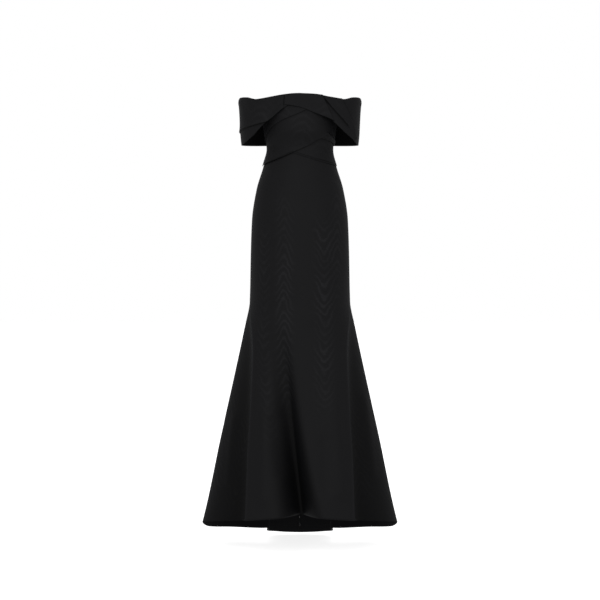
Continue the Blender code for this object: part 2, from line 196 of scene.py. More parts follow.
WRAP_CREASES = [
    Crease(-64.0, 0.028, -30.0, 0.052, 0.009, -0.0010),
    Crease(-52.0, -0.012, -14.0, 0.020, 0.010, -0.0012),
    Crease(-22.0, 0.062, 12.0, 0.088, 0.010, -0.0008),
    Crease(18.0, 0.052, 46.0, 0.078, 0.009, -0.0012),
    Crease(34.0, 0.098, 62.0, 0.084, 0.008, -0.0010),
    Crease(30.0, 0.010, 64.0, -0.006, 0.008, -0.0008),
]

# Pressed pleats: a step along a line that falls away softly on one side
Pleat = namedtuple("Pleat", "angle height end_angle end_height rise falloff")
BAND_PLEATS = [
    Pleat(28.0, 0.184, 42.5, 0.092, 0.0085, 0.020),
    Pleat(31.0, 0.166, 57.0, 0.080, -0.0040, 0.014),
    Pleat(50.0, 0.170, 71.0, 0.040, 0.0075, 0.022),
    Pleat(-84.0, 0.060, -46.0, 0.084, -0.0050, 0.016),
]
WRAP_PLEATS = [
    Pleat(43.0, 0.038, 52.0, 0.052, -0.0036, 0.010),
    Pleat(52.0, 0.052, 84.0, 0.034, 0.0040, 0.010),
]
PLEAT_EDGE = 0.0012
PLEAT_ENDS = 0.012
RIM_SHARE = 3

# Edges over the front
Place = namedtuple("Place", "angle height")
BAND_TOP_EDGE = [
    Place(0.0, 0.179),
    Place(20.0, 0.1765),
    Place(38.0, 0.1685),
    Place(55.0, 0.1620),
    Place(65.0, 0.1700),
    Place(76.0, 0.1725),
    Place(90.0, 0.1730),
    Place(180.0, 0.1720),
]
BAND_LEFT_EDGE = [
    Place(-90.0, BAND_SIDE_LOW),
    Place(-77.0, BAND_SIDE_LOW),
    Place(-70.5, 0.0250),
    Place(-59.0, 0.0435),
    Place(-49.0, 0.073),
    Place(-37.0, 0.102),
    Place(-22.5, 0.132),
    Place(-12.0, 0.148),
]
BAND_RIGHT_EDGE = [
    Place(-22.0, 0.1425),
    Place(0.0, 0.134),
    Place(22.5, 0.114),
    Place(40.0, 0.094),
    Place(53.0, 0.062),
    Place(60.5, 0.0435),
    Place(71.0, 0.0250),
    Place(77.5, BAND_SIDE_LOW),
    Place(90.0, BAND_SIDE_LOW),
]
WRAP_UPPER_EDGE = [
    Place(-88.0, 0.031),
    Place(-60.0, 0.060),
    Place(-35.0, 0.087),
    Place(0.0, 0.117),
    Place(30.0, 0.145),
    Place(60.0, 0.152),
    Place(88.0, 0.152),
]
WRAP_LOWER_EDGE = [
    Place(-88.0, -0.050),
    Place(-45.0, -0.031),
    Place(-15.0, -0.011),
    Place(15.0, 0.012),
    Place(38.0, 0.036),
    Place(60.0, 0.030),
    Place(88.0, 0.018),
]
HEM_EDGE = [
    Place(0.0, -1.1800),
    Place(20.0, -1.1860),
    Place(40.0, -1.1940),
    Place(55.0, -1.2020),
    Place(75.0, -1.2110),
    Place(90.0, -1.2215),
    Place(115.0, -1.2545),
    Place(137.0, -1.2670),
    Place(147.0, -1.2640),
    Place(153.0, -1.2760),
    Place(158.0, -1.2855),
    Place(162.0, -1.2940),
    Place(168.0, -1.2995),
    Place(173.0, -1.3025),
    Place(180.0, -1.3040),
    Place(187.0, -1.3025),
]
WRAP_TOP = 0.152
WRAP_TUCK = 0.012
WAIST_OVERLAP = 0.006
WRAP_UPPER_END = 22.0

# The wrap's main panel lies over the lower panel and under the upper one
WRAP_SINK_START = 0.2
WRAP_SINK_END = 0.75

# The front panel's side seams: the angle of each at a height, from the knee to the hem
Seam = namedtuple("Seam", "height angle")
FRONT_SEAM = [
    Seam(-1.310, 39.0),
    Seam(HEM_FRONT, 40.8),
    Seam(-1.070, 43.4),
    Seam(-0.985, 45.8),
    Seam(-0.900, 47.8),
    Seam(-0.767, 52.5),
    Seam(-0.660, 58.0),
    Seam(-0.589, 65.5),
    Seam(-0.540, 75.0),
    Seam(KNEE, SIDE_SEAM),
]

# The right front of the band crosses over the end of the left front
BAND_LEFT_END = -13.0
BAND_RIGHT_START = -22.0
BAND_RAMP_START = -11.0
BAND_RAMP_END = 8.0
BAND_SWELL = 0.0026
BAND_SWELL_START = -40.0
BAND_SWELL_PEAK = -23.6
BAND_SWELL_END = -22.4

# The watermark: columns of arches down the cloth, which stand up or hang down
Column = namedtuple("Column", "middle spread arch top bottom strength")
FRONT_WATERMARK = [
    Column(-0.052, 0.019, 1.5, -0.12, -0.90, 0.9),
    Column(0.080, 0.022, -1.4, -0.18, -0.88, 0.8),
    Column(0.132, 0.015, 1.1, -0.09, -0.55, 0.5),
    Column(-0.125, 0.016, -0.9, -0.22, -0.98, 0.5),
]
SIDE_WATERMARK = [
    Column(-0.060, 0.028, 1.8, -0.10, -1.20, 0.7),
    Column(0.055, 0.024, -1.9, -0.20, -1.25, 0.6),
    Column(0.150, 0.030, 1.5, -0.50, -1.30, 0.6),
    Column(-0.165, 0.026, -1.6, -0.60, -1.30, 0.5),
]
UPPER_WATERMARK = [
    Column(0.010, 0.030, 1.2, 0.20, -0.06, 0.35),
]
WATERMARK_SPACING = 0.030
WATERMARK_SLANT = 0.16
WATERMARK_TOP_FADE = 0.10
WATERMARK_LOW_FADE = 0.12
WATERMARK_REACH = 1.5

# The painted highlight where a pressed line along the front panel's seams catches the light, and where it
# fades out
SHINE_WIDTH = 0.0042
SHINE_LOW = -0.98
SHINE_HIGH = -0.56
SHINE_LEAST = 0.35

# The values that each point of a cloth carries, by the input of the finish that takes them: the
# watermark, and the masks of a painted highlight, painted shade and painted shadow
POINT_VALUES = {
    "Phase": "watermark_phase",
    "Strength": "watermark_strength",
    "Shine": "pressed_shine",
    "Depth": "fold_depth",
    "Contact": "contact_shade",
}
Finish = namedtuple("Finish", "dullness sheen")
FINISHES = {
    "skirt": Finish(0.60, 0.010),
    "bodice": Finish(0.60, 0.010),
    "band": Finish(0.62, 0.012),
}
INSIDE_COLOUR = (0.0060, 0.0060, 0.0066, 1.0)
TOOTH_COLOUR = (0.0080, 0.0080, 0.0086, 1.0)
THREAD_COLOUR = (0.0100, 0.0100, 0.0110, 1.0)
WHITE = (1.0, 1.0, 1.0, 1.0)
LIGHT_THREAD = 1.8
DULLNESS_RANGE = 0.06

# Columns and rows of each mesh; a skirt panel's rows stop at the knee and its lower rows go on
Net = namedtuple("Net", "columns rows lower_rows")
NETS = {
    "skirt_front": Net(168, 84, 110),
    "skirt_godet": Net(100, 0, 130),
    "skirt_back": Net(110, 76, 110),
    "bodice_front": Net(96, 60, 0),
    "bodice_back": Net(60, 60, 0),
    "wrap_upper": Net(110, 60, 0),
    "wrap_lower": Net(100, 44, 0),
    "wrap_main": Net(190, 84, 0),
    "band_front_left": Net(200, 90, 0),
    "band_front_right": Net(180, 90, 0),
    "band_back": Net(110, 60, 0),
    "zip_tape": Net(12, 140, 0),
}
LEAST_ROWS = 4
SEAM_ROUNDS = 5
SIDES = (("left", -1), ("right", 1))

# The photograph's view: a level camera in front of the gown
CAMERA_AWAY = 6.0
CAMERA_HEIGHT = -0.490
CAMERA_ASIDE = 0.0002
PIXEL_AT_GOWN = 0.0033
IMAGE_WIDTH = 600
SENSOR_WIDTH = 36.0
FLOOR_BELOW_HEM = 0.006
FLOOR_GLOW = 0.85
FLOOR_HALF = 60.0
CAMERA_REACH = 200.0
Lamp = namedtuple("Lamp", "name place aim size share")
LAMPS = [
    Lamp("soft_light_left", (-1.3, -4.6, 1.5), (0.0, 0.0, -0.5), 2.4, 1.0),
    Lamp("soft_light_right", (1.9, -4.4, 0.7), (0.0, 0.0, -0.6), 2.0, 0.55),
    Lamp("soft_light_back", (0.0, 5.0, 2.2), (0.0, 0.0, -0.5), 2.4, 0.8),
]


class Curve:
    """A smooth curve through a table's values that never overshoots them."""

    def __init__(self, places, values):
        self.places = np.array(places, dtype=float)
        self.values = np.array(values, dtype=float)
        rises = np.diff(self.values) / np.diff(self.places)
        self.slopes = np.zeros(len(self.places))
        self.slopes[0] = rises[0]
        self.slopes[-1] = rises[-1]
        for i in range(1, len(rises)):
            if rises[i - 1] * rises[i] > 0:
                self.slopes[i] = 2 / (1 / rises[i - 1] + 1 / rises[i])

    def __call__(self, place):
        place = np.clip(place, self.places[0], self.places[-1])
        row = np.searchsorted(self.places, place, side="right") - 1
        row = np.clip(row, 0, len(self.places) - 2)
        span = self.places[row + 1] - self.places[row]
        t = (place - self.places[row]) / span
        ends = self.values[row] * (1 + 2 * t) * (1 - t) ** 2 + self.values[row + 1] * t * t * (3 - 2 * t)
        bend = self.slopes[row] * (1 - t) - self.slopes[row + 1] * t
        return ends + span * t * (1 - t) * bend


def edge_curve(places):
    """The height of an edge as a function of the angle."""
    return Curve([p.angle for p in places], [p.height for p in places])


def ease(t):
    """0 below 0, 1 above 1 and a smooth step between."""
    t = np.clip(t, 0.0, 1.0)
    return t * t * (3 - 2 * t)


def turn_between(angle, middle):
    """The angle from the middle, the short way round."""
    return (angle - middle + 180.0) % 360.0 - 180.0


class Shell:
    """A surface given by its distance from the upright axis, for arrays of angles and heights."""

    def __init__(self, sections, flutes=(), creases=(), pleats=()):
        heights = [s.height for s in sections]
        self.half_width = Curve(heights, [s.half_width for s in sections])
        self.front = Curve(heights, [s.front for s in sections])
        self.back = Curve(heights, [s.back for s in sections])
        self.roundness = Curve(heights, [s.roundness for s in sections])
        self.flutes = flutes
        self.creases = creases
        self.pleats = pleats

    def plain_radius(self, angle, height):
        turn = np.radians(angle)
        depth = np.where(np.cos(turn) > 0, self.front(height), self.back(height))
        power = self.roundness(height)
        across = np.abs(np.sin(turn) / self.half_width(height)) ** power
        along = np.abs(np.cos(turn) / depth) ** power
        return (across + along) ** (-1 / power)

    def fold_depth(self, angle, height):
        """How far the large folds go in."""
        depth = 0 * (angle + height)
        for flute in self.flutes:
            depth = depth + flute_depth(flute, angle, height)
        if self.flutes:
            depth = depth + side_valley_depth(angle, height)
        return depth

    def radius(self, angle, height):
        plain = self.plain_radius(angle, height)
        hollow = self.fold_depth(angle, height)
        for crease in self.creases:
            hollow = hollow + crease_depth(crease, plain, angle, height)
        for pleat in self.pleats:
            hollow = hollow - pleat_rise(pleat, plain, angle, height)
        return plain - hollow

    def points(self, angle, height, lift):
        """Points on the surface, moved out along its normals by the lift."""
        turn = np.radians(angle)
        sine = np.sin(turn)
        cosine = np.cos(turn)
        radius = self.radius(angle, height)
        around = self.radius(angle + STEP_ANGLE, height) - self.radius(angle - STEP_ANGLE, height)
        around = around / (2 * math.radians(STEP_ANGLE))
        upward = self.radius(angle, height + STEP_HEIGHT) - self.radius(angle, height - STEP_HEIGHT)
        upward = upward / (2 * STEP_HEIGHT)
        along_x = around * sine + radius * cosine
        along_y = radius * sine - around * cosine
        normal_z = -upward * (along_x * cosine + along_y * sine)
        normal = np.stack([along_y, -along_x, normal_z], axis=-1)
        normal = normal / np.linalg.norm(normal, axis=-1, keepdims=True)
        place = np.stack([radius * sine, -radius * cosine, height + 0 * radius], axis=-1)
        return place + normal * np.asarray(lift)[..., None]


def flute_depth(flute, angle, height):
    """How far one valley of the skirt goes in."""
    grown = np.clip((flute.start - height) / (flute.start - HEM_FRONT), 0.0, FLUTE_GROWN_MOST)
    middle = flute.hem_angle + flute.drift * (1 - np.clip(grown, 0.0, 1.0))
    away = turn_between(angle, middle)
    spread = np.where(away < 0, flute.left_spread, flute.right_spread)
    return flute.depth * grown ** FLUTE_GROWTH * np.exp(-np.abs(away / spread) ** FLUTE_SHARPNESS)


def side_valley_depth(angle, height):
    """How far the cloth goes in behind the front panel's side seams."""
    seam = front_seam(height)
    width = np.maximum(SIDE_VALLEY_END - seam, SIDE_VALLEY_LEAST)
    place = np.clip((np.abs(turn_between(angle, 0.0)) - seam) / width, 0.0, 1.0)
    peak = 1 / (1 + SIDE_VALLEY_SKEW)
    highest = peak * (1 - peak) ** SIDE_VALLEY_SKEW
    shape = place * (1 - place) ** SIDE_VALLEY_SKEW / highest
    return SIDE_VALLEY_DEPTH * flare(height) ** SIDE_VALLEY_GROWTH * shape


def line_distances(line, reach, angle, height):
    """Distance from a line on the surface: along it as a share, past its ends, and to one side."""
    run_x = math.radians(line.end_angle - line.angle) * reach
    run_z = line.end_height - line.height
    from_x = np.radians(turn_between(angle, line.angle)) * reach
    from_z = height - line.height
    length = np.hypot(run_x, run_z)
    share = (from_x * run_x + from_z * run_z) / length ** 2
    past = np.maximum(np.maximum(-share, share - 1), 0) * length
    aside = (from_x * run_z - from_z * run_x) / length
    return past, aside


def crease_depth(crease, reach, angle, height):
    """How far one soft crease goes in."""
    past, aside = line_distances(crease, reach, angle, height)
    return crease.depth * np.exp(-(aside ** 2 + past ** 2) / crease.width ** 2)


def pleat_rise(pleat, reach, angle, height):
    """How far one side of a pleat stands up; the sign of its rise picks the side."""
    past, aside = line_distances(pleat, reach, angle, height)
    aside = aside * np.sign(pleat.rise)
    edge = 0.5 + 0.5 * np.tanh(aside / PLEAT_EDGE)
    fall = np.exp(-np.maximum(aside, 0) / pleat.falloff)
    return abs(pleat.rise) * edge * fall * np.exp(-(past / PLEAT_ENDS) ** 2)


SKIRT = Shell(BODY_SECTIONS, FLUTES, BODY_CREASES)
BODICE = Shell(BODY_SECTIONS)
WRAP = Shell(BODY_SECTIONS, (), WRAP_CREASES, WRAP_PLEATS)
BAND = Shell(BAND_SECTIONS, (), BAND_CREASES, BAND_PLEATS)
HEM = edge_curve(HEM_EDGE)
FRONT_SEAM_ANGLE = Curve([s.height for s in FRONT_SEAM], [s.angle for s in FRONT_SEAM])


def flare(height):
    """0 at the knee and above, 1 at the front hem."""
    return np.clip((KNEE - height) / (KNEE - HEM_FRONT), 0.0, None)


def waist_height(angle):
    """The waist seam: an inverted V in front, level behind."""
    apex = math.sin(math.radians(WAIST_APEX_ANGLE))
    across = np.sin(np.radians(angle))
    reach = np.where(across < apex, 1 + apex, 1 - apex)
    fall = np.clip(np.abs(across - apex) / reach, 0.0, 1.0)
    fall = np.where(np.abs(angle) > SIDE_SEAM, 1.0, fall)
    return WAIST_APEX + (WAIST_SIDE - WAIST_APEX) * fall


def hem_height(angle):
    """The hem: nearly level in front and dropping to a small train behind."""
    return HEM(np.abs(angle))


def front_seam(height):
    """The angle of the seam between the front panel and the godet."""
    return FRONT_SEAM_ANGLE(height)


def back_seam(height):
    """The angle of the seam between the godet and the back panel."""
    return SIDE_SEAM + GODET_BACK_SWING * flare(height)


def between(first, last, count):
    """A row of count + 1 even values for each pair of ends."""
    t = np.linspace(0.0, 1.0, count + 1)
    return np.asarray(first)[..., None] * (1 - t) + np.asarray(last)[..., None] * t


def watermark_phase(columns, across, height):
    """How far along the watermark's waves each point lies, and how strongly they show."""
    phase = (height + WATERMARK_SLANT * across) / WATERMARK_SPACING
    strength = 0 * across
    for column in columns:
        aside = (across - column.middle) / column.spread
        phase = phase - column.arch * np.exp(-aside ** 2)
        fade = ease((column.top - height) / WATERMARK_TOP_FADE)
        fade = fade * ease((height - column.bottom) / WATERMARK_LOW_FADE)
        strength = strength + column.strength * fade * np.exp(-(aside / WATERMARK_REACH) ** 4)
    return phase, strength


Grid = namedtuple("Grid", "angle height")


def pressed_shine(across, height):
    """How strong the painted highlight along the pressed line of both side edges is."""
    aside = np.minimum(across - across[:, :1], across[:, -1:] - across)
    fade = ease((height - SHINE_LOW) / (SHINE_HIGH - SHINE_LOW))
    fade = SHINE_LEAST + (1 - SHINE_LEAST) * fade
    return np.exp(-(aside / SHINE_WIDTH) ** 2) * fade


def contact_shade(shell, angle, height):
    """How strongly a painted shadow darkens the cloth just below the edge of a layer or pleat."""
    shade = 0 * (angle + height)
    for edge in (edge_curve(WRAP_UPPER_EDGE), edge_curve(WRAP_LOWER_EDGE), waist_height):
        below = edge(angle) - height
        reached = (below > 0) * (np.abs(angle) < SIDE_SEAM) * (shell is not BAND)
        shade = np.maximum(shade, reached * np.exp(-np.maximum(below, 0) / PAINTED_SHADOW_REACH))
    plain = shell.plain_radius(angle, height)
    for pleat in shell.pleats:
        past, aside = line_distances(pleat, plain, angle, height)
        below = -aside * np.sign(pleat.rise)
        near = (below > -PLEAT_EDGE) * np.exp(-np.maximum(below, 0) / PAINTED_SHADOW_REACH)
        shade = np.maximum(shade, near * np.exp(-(past / PLEAT_ENDS) ** 2))
    return shade


def piece_mesh(name, shell, grid, lift, thickness, watermark, finishes, rim_round):
    """A closed wall of cloth with rounded edges, its own UV map, the watermark's waves and the masks of
    its painted highlight, painted shade and painted shadow.
    """
    angle, height = grid
    lift = np.broadcast_to(lift, angle.shape)
    outer = shell.points(angle, height, lift)
    inner = shell.points(angle, height, lift - thickness)
    rows, columns = angle.shape
    count = rows * columns
    steps = np.linalg.norm(np.diff(outer, axis=1), axis=-1)
    across = np.concatenate([np.zeros((rows, 1)), np.cumsum(steps, axis=1)], axis=1)
    middle = np.argmin(np.abs(angle - (angle[:, :1] + angle[:, -1:]) / 2), axis=1)
    across = across - np.take_along_axis(across, middle[:, None], axis=1)
    rises = np.linalg.norm(np.diff(outer, axis=0), axis=-1)
    down = np.concatenate([np.zeros((1, columns)), np.cumsum(rises, axis=0)], axis=0)
    cut = (float(steps.sum(axis=1).max()), float(rises.sum(axis=0).max()), cloth_area(outer))
    number = np.arange(count).reshape(rows, columns)
    quads = np.stack([number[:-1, :-1], number[1:, :-1], number[1:, 1:], number[:-1, 1:]], axis=-1)
    quads = quads.reshape(-1, 4)
    loop = np.concatenate([number[:, 0], number[-1, 1:], number[::-1, -1][1:], number[0, ::-1][1:]])
    inwards = np.concatenate([number[:, 1], number[-2, 1:], number[::-1, -2][1:], number[1, ::-1][1:]])
    flat_outer = outer.reshape(-1, 3)
    flat_inner = inner.reshape(-1, 3)
    rim = (flat_outer[loop[:-1]] + flat_inner[loop[:-1]]) / 2
    outwards = flat_outer[loop[:-1]] - flat_outer[inwards[:-1]]
    outwards = outwards / np.maximum(np.linalg.norm(outwards, axis=1, keepdims=True), TINY)
    rim = rim + outwards * rim_round
    ring = 2 * count + np.arange(len(loop) - 1)
    ring_next = np.roll(ring, -1)
    a = loop[:-1]
    b = np.roll(a, -1)
    rim_outer = np.stack([b, a, ring, ring_next], axis=-1)
    rim_inner = np.stack([ring_next, ring, a + count, b + count], axis=-1)
    faces = np.concatenate([quads, quads[:, ::-1] + count, rim_outer, rim_inner])
    mesh = bpy.data.meshes.new(name)
    mesh.from_pydata(np.concatenate([flat_outer, flat_inner, rim]).tolist(), [], faces.tolist())
    mesh.shade_smooth()
    inner_first = len(quads)
    inner_last = 2 * len(quads)
    for finish in finishes:
        mesh.materials.append(finish)
    slots = np.zeros(len(faces), dtype=np.int32)
    slots[inner_first:inner_last] = 1
    slots[inner_last + len(rim_outer):] = 1
    mesh.polygons.foreach_set("material_index", slots)
    phase, strength = watermark_phase(watermark, across, height)
    # Painted highlight along the front panel's seams
    seam_highlight_mask = pressed_shine(across, height) * (name == "cloth_skirt_front")
    # Painted shade: a mask that is stronger where the large folds go deep
    fold_shade_mask = np.clip(shell.fold_depth(angle, height) / PAINTED_SHADE_FULL_DEPTH, 0.0, 1.0) ** PAINTED_FOLD_SHADE_POWER
    # Painted shadow just below the edges of layers and pleats
    contact_shadow_mask = contact_shade(shell, angle, height)
    for label, values in zip(POINT_VALUES.values(), (phase, strength, seam_highlight_mask, fold_shade_mask, contact_shadow_mask)):
        layer = mesh.attributes.new(label, "FLOAT", "POINT")
        flat = values.reshape(-1)
        layer.data.foreach_set("value", np.concatenate([flat, flat, flat[loop[:-1]]]).astype(np.float32))
    uv = np.stack([across, -down], axis=-1).reshape(-1, 2)
    uv = np.concatenate([uv, uv, uv[loop[:-1]]])
    corners = np.zeros(len(mesh.loops), dtype=np.int32)
    mesh.loops.foreach_get("vertex_index", corners)
    mesh.uv_layers.new(name="cloth").data.foreach_set("uv", uv[corners].reshape(-1).astype(np.float32))
    return add_object(name, mesh), cut


def add_object(name, data):
    """A new object in the scene."""
    made = bpy.data.objects.new(name, data)
    bpy.context.scene.collection.objects.link(made)
    return made


def cloth_area(points):
    """The area of a grid of points."""
    first = np.cross(points[1:, :-1] - points[:-1, :-1], points[1:, 1:] - points[:-1, :-1])
    second = np.cross(points[1:, 1:] - points[:-1, :-1], points[:-1, 1:] - points[:-1, :-1])
    return float((np.linalg.norm(first, axis=-1) + np.linalg.norm(second, axis=-1)).sum() / 2)


def dress_piece(name, shell, grid, lift, thickness, watermark, finishes):
    """Makes one piece of cloth, puts it in its node's place and hides the model's part of the same name.
    """
    rim_round = thickness / RIM_SHARE if thickness == WRAP_CLOTH else 0.0
    piece, cut = piece_mesh("cloth_" + name, shell, grid, lift, thickness, watermark, finishes, rim_round)
    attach(piece, "root")
    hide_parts(name)


def node(tree, kind, label, fixed=None, **values):
    """Adds a node, sets its properties by name and then its fixed inputs."""
    made = tree.nodes.new(kind)
    made.label = label
    for key, value in values.items():
        setattr(made, key, value)
    set_inputs(made, fixed or {})
    return made


def set_inputs(made, fixed):
    """Sets the inputs of a node that keep one value."""
    for key, value in fixed.items():
        made.inputs[key].default_value = value


def link(tree, *pairs):
    """Links outputs to inputs."""
    for source, target in pairs:
        tree.links.new(source, target)


def math_node(tree, operation, *values):
    """A Math node on sockets or numbers; returns its output."""
    made = node(tree, "ShaderNodeMath", operation.lower(), operation=operation)
    for i, value in enumerate(values):
        if isinstance(value, (int, float)):
            made.inputs[i].default_value = value
        else:
            link(tree, (value, made.inputs[i]))
    return made.outputs[0]


def noise(tree, label, place, scale, detail, stretch=None, roughness=0.5):
    """A noise texture's value; the stretch, if any, runs its grain across the cloth."""
    if stretch:
        mapping = node(tree, "ShaderNodeMapping", label, {"Scale": stretch})
        link(tree, (place, mapping.inputs["Vector"]))
        place = mapping.outputs["Vector"]
    fixed = {"Scale": scale, "Detail": detail, "Roughness": roughness}
    texture = node(tree, "ShaderNodeTexNoise", label, fixed)
    link(tree, (place, texture.inputs["Vector"]))
    return texture.outputs["Fac"]


def new_group(name, kind, taken, results):
    """A node group with its sockets, from tables of names, kinds and first values."""
    group = bpy.data.node_groups.new(name, kind)
    for direction, sockets in (("INPUT", taken), ("OUTPUT", results)):
        for label, socket_kind, first in sockets:
            socket = group.interface.new_socket(
                name=label, in_out=direction, socket_type="NodeSocket" + socket_kind)
            if first is not None:
                socket.default_value = first
    given = group.nodes.new("NodeGroupInput").outputs
    wanted = group.nodes.new("NodeGroupOutput").inputs
    return group, given, wanted


def watered_faille_group():
    """Shader group: the colour, roughness and relief of a ribbed cloth with a watermark; the colour also
    holds painted shade in deep folds, a painted shadow below edges and a painted highlight along seams.
    """
    name = "Watered faille"
    if name in bpy.data.node_groups:
        return bpy.data.node_groups[name]
    taken = [
        ("Cloth Place", "Vector", None),
        ("Phase", "Float", 0.0),
        ("Strength", "Float", 0.0),
        ("Ground", "Color", None),
        ("Light", "Color", None),
        ("Shine", "Float", 0.0),
        ("Depth", "Float", 0.0),
        ("Depth Shade", "Float", 0.78),
        ("Contact", "Float", 0.0),
        ("Contact Shade", "Float", 0.85),
        ("Dullness", "Float", 0.6),
        ("Ribs Per Metre", "Float", 1300.0),
    ]
    results = [("Colour", "Color", None), ("Roughness", "Float", None), ("Relief", "Float", None)]
    group, given, wanted = new_group(name, "ShaderNodeTree", taken, results)

    place = given["Cloth Place"]
    broad = noise(group, "Slow wander of the waves", place, 16.0, 3.0)
    grain = noise(group, "Fine grain of the waves", place, 1.0, 4.0, (14.0, 160.0, 1.0), 0.6)
    flicker = math_node(group, "MULTIPLY", grain, 0.7)
    phase = math_node(group, "ADD", given["Phase"], math_node(group, "MULTIPLY", broad, 2.2))
    phase = math_node(group, "ADD", phase, flicker)
    wave = math_node(group, "SINE", math_node(group, "MULTIPLY", phase, 2 * math.pi))
    wave = math_node(group, "POWER", math_node(group, "MULTIPLY_ADD", wave, 0.5, 0.5), 2.4)

    patchy = noise(group, "Where the watermark fades", place, 9.0, 2.0)
    patches = node(group, "ShaderNodeMapRange", "Fading patches",
                   {"From Min": 0.38, "From Max": 0.60, "To Min": 0.42})
    link(group, (patchy, patches.inputs["Value"]))
    shown = math_node(group, "MULTIPLY", given["Strength"], patches.outputs["Result"])
    shown = math_node(group, "MULTIPLY", shown, wave)

    fibres = noise(group, "Slub of the yarns", place, 1.0, 3.0, (60.0, 1500.0, 1.0))
    tone = math_node(group, "MULTIPLY_ADD", fibres, 0.5, shown)
    # Painted highlight: the seam line is brightened towards and past the watermark's colour
    tone = math_node(group, "MULTIPLY_ADD", given["Shine"], 1.6, tone)
    # Painted shade: the colour is darkened in deep folds and in a painted shadow just below the edges of
    # layers and pleats
    fold_shade_darkening = math_node(group, "MULTIPLY", given["Depth"], given["Depth Shade"])
    contact_shadow_darkening = math_node(group, "MULTIPLY", given["Contact"], given["Contact Shade"])
    left_after_painted_shade = math_node(group, "MULTIPLY", math_node(group, "SUBTRACT", 1.0, fold_shade_darkening),
                     math_node(group, "SUBTRACT", 1.0, contact_shadow_darkening))
    colour = node(group, "ShaderNodeMix", "Ground or watermark", data_type="RGBA", clamp_factor=False)
    shaded = node(group, "ShaderNodeVectorMath", "Painted shade in folds and under edges", operation="SCALE")
    link(group,
         (tone, colour.inputs["Factor"]),
         (given["Ground"], colour.inputs[6]),
         (given["Light"], colour.inputs[7]),
         (colour.outputs[2], shaded.inputs[0]),
         (left_after_painted_shade, shaded.inputs["Scale"]),
         (shaded.outputs[0], wanted["Colour"]))

    smoother = math_node(group, "MULTIPLY", shown, 0.05)
    link(group, (math_node(group, "SUBTRACT", given["Dullness"], smoother), wanted["Roughness"]))

    parts = node(group, "ShaderNodeSeparateXYZ", "Across and along")
    link(group, (place, parts.inputs["Vector"]))
    ribs = math_node(group, "MULTIPLY", parts.outputs["Y"], given["Ribs Per Metre"])
    ribs = math_node(group, "MULTIPLY", math_node(group, "ADD", ribs, flicker), 2 * math.pi)
    relief = math_node(group, "MULTIPLY_ADD", math_node(group, "SINE", ribs), 0.35, 0.5)
    link(group, (math_node(group, "ADD", relief, fibres), wanted["Relief"]))
    return group


def new_material(name):
    """A new material with its node tree and its shader."""
    material = bpy.data.materials.new(name)
    material.use_nodes = True
    return material, material.node_tree, material.node_tree.nodes["Principled BSDF"]


def add_relief(tree, shader, height, strength, distance):
    """Bumps on a shader from a height."""
    bump = node(tree, "ShaderNodeBump", "Relief", {"Strength": strength, "Distance": distance})
    link(tree, (height, bump.inputs["Height"]), (bump.outputs["Normal"], shader.inputs["Normal"]))


def faille(name, ground, light, finish, rib_depth):
    """A black ribbed silk-like cloth with a watermark, painted shade, painted shadow and a painted
    highlight.
    """
    if name in bpy.data.materials:
        return bpy.data.materials[name]
    material, tree, shader = new_material(name)
    set_inputs(shader, {
        "Metallic": 0.0,
        "Specular IOR Level": 0.10,
        "Sheen Weight": finish.sheen,
        "Sheen Roughness": 0.45,
        "Sheen Tint": (0.82, 0.84, 1.0, 1.0),
    })
    cloth_place = node(tree, "ShaderNodeUVMap", "Place on the cloth", uv_map="cloth")
    fixed = {"Ground": ground, "Light": light, "Dullness": finish.dullness}
    weave = node(tree, "ShaderNodeGroup", "Watered faille", fixed, node_tree=watered_faille_group())
    for socket, attribute in POINT_VALUES.items():
        source = node(tree, "ShaderNodeAttribute", socket, attribute_name=attribute)
        link(tree, (source.outputs["Fac"], weave.inputs[socket]))
    link(tree,
         (cloth_place.outputs["UV"], weave.inputs["Cloth Place"]),
         (weave.outputs["Colour"], shader.inputs["Base Color"]),
         (weave.outputs["Roughness"], shader.inputs["Roughness"]))
    add_relief(tree, shader, weave.outputs["Relief"], 0.6, rib_depth)
    return material


def plain_cloth(name, colour, dullness, gloss):
    """A matt black cloth with a fine even weave, for insides and tapes."""
    if name in bpy.data.materials:
        return bpy.data.materials[name]
    material, tree, shader = new_material(name)
    set_inputs(shader, {"Specular IOR Level": gloss})
    place = node(tree, "ShaderNodeTexCoord", "Place")
    weave = noise(tree, "Weave", place.outputs["Object"], 900.0, 2.0)
    lighter = tuple(min(1.0, c * LIGHT_THREAD) for c in colour[:3]) + (1.0,)
    shade = node(tree, "ShaderNodeMix", "Thread shade", {6: colour, 7: lighter}, data_type="RGBA")
    rough = node(tree, "ShaderNodeMapRange", "Dullness",
                 {"To Min": dullness - DULLNESS_RANGE, "To Max": dullness + DULLNESS_RANGE})
    link(tree,
         (weave, shade.inputs["Factor"]),
         (shade.outputs[2], shader.inputs["Base Color"]),
         (weave, rough.inputs["Value"]),
         (rough.outputs["Result"], shader.inputs["Roughness"]))
    add_relief(tree, shader, weave, 0.5, 0.00008)
    return material


def cloth_finishes(settings, kind):
    """Outer and inner finish of one kind of piece."""
    ground = (*settings.ground_colour, 1.0)
    light = (*settings.watermark_colour, 1.0)
    face = faille("faille_" + kind, ground, light, FINISHES[kind], settings.rib_depth)
    return [face, plain_cloth("cloth_inside", INSIDE_COLOUR, 0.8, 0.05)]


